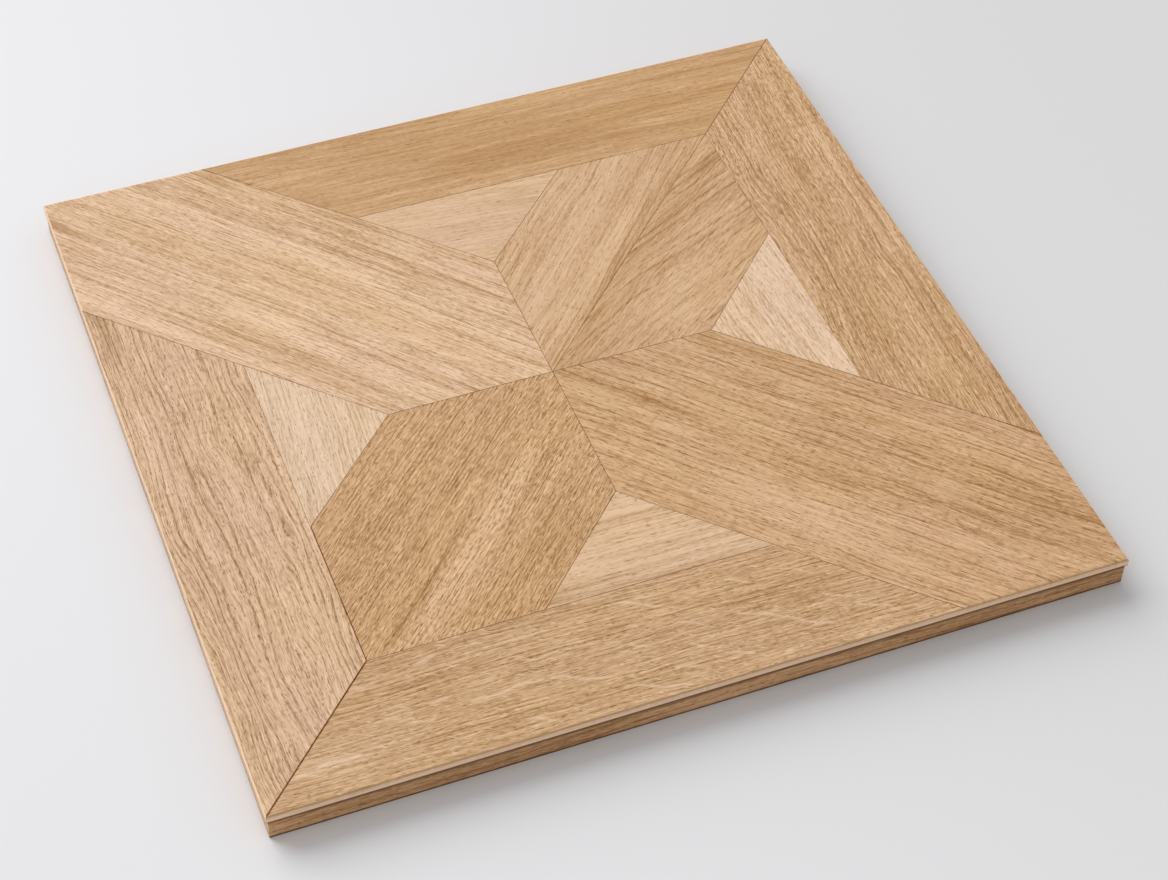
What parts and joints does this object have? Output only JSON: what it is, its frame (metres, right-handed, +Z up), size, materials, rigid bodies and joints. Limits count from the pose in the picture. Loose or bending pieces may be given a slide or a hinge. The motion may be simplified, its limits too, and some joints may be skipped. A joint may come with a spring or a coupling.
{
  "type": "parquet block",
  "caption": "Square engineered parquet block: diagonal oak bands cross inside a mitred border, with triangular infills, on one brown base board.",
  "frame": {"origin": "centre of the underside, on the floor that the block lies on", "axes": "+Z up through the thickness, from the underside to the oak face; +X along the front edge to the right; +Y from the front edge to the back edge"},
  "size_m": [0.6, 0.6, 0.024],
  "materials": {
    "oak_pale": "matt oiled oak, palest lamellas",
    "oak_light": "matt oiled oak, light lamellas",
    "oak_warm": "matt oiled oak, warm lamellas",
    "backing_wood": "sawn brown board, unfinished"
  },
  "bodies": {
    "root": {"base_board": "backing_wood", "band_left": "oak_light", "band_right": "oak_warm", "cross_front": "oak_warm", "cross_back_left": "oak_light", "cross_back_right": "oak_warm", "border_front": "oak_warm", "border_left": "oak_light", "border_back": "oak_warm", "border_right": "oak_warm", "infill_front": "oak_light", "infill_left": "oak_pale", "infill_back": "oak_light", "infill_right": "oak_pale"}
  },
  "joints": []
}
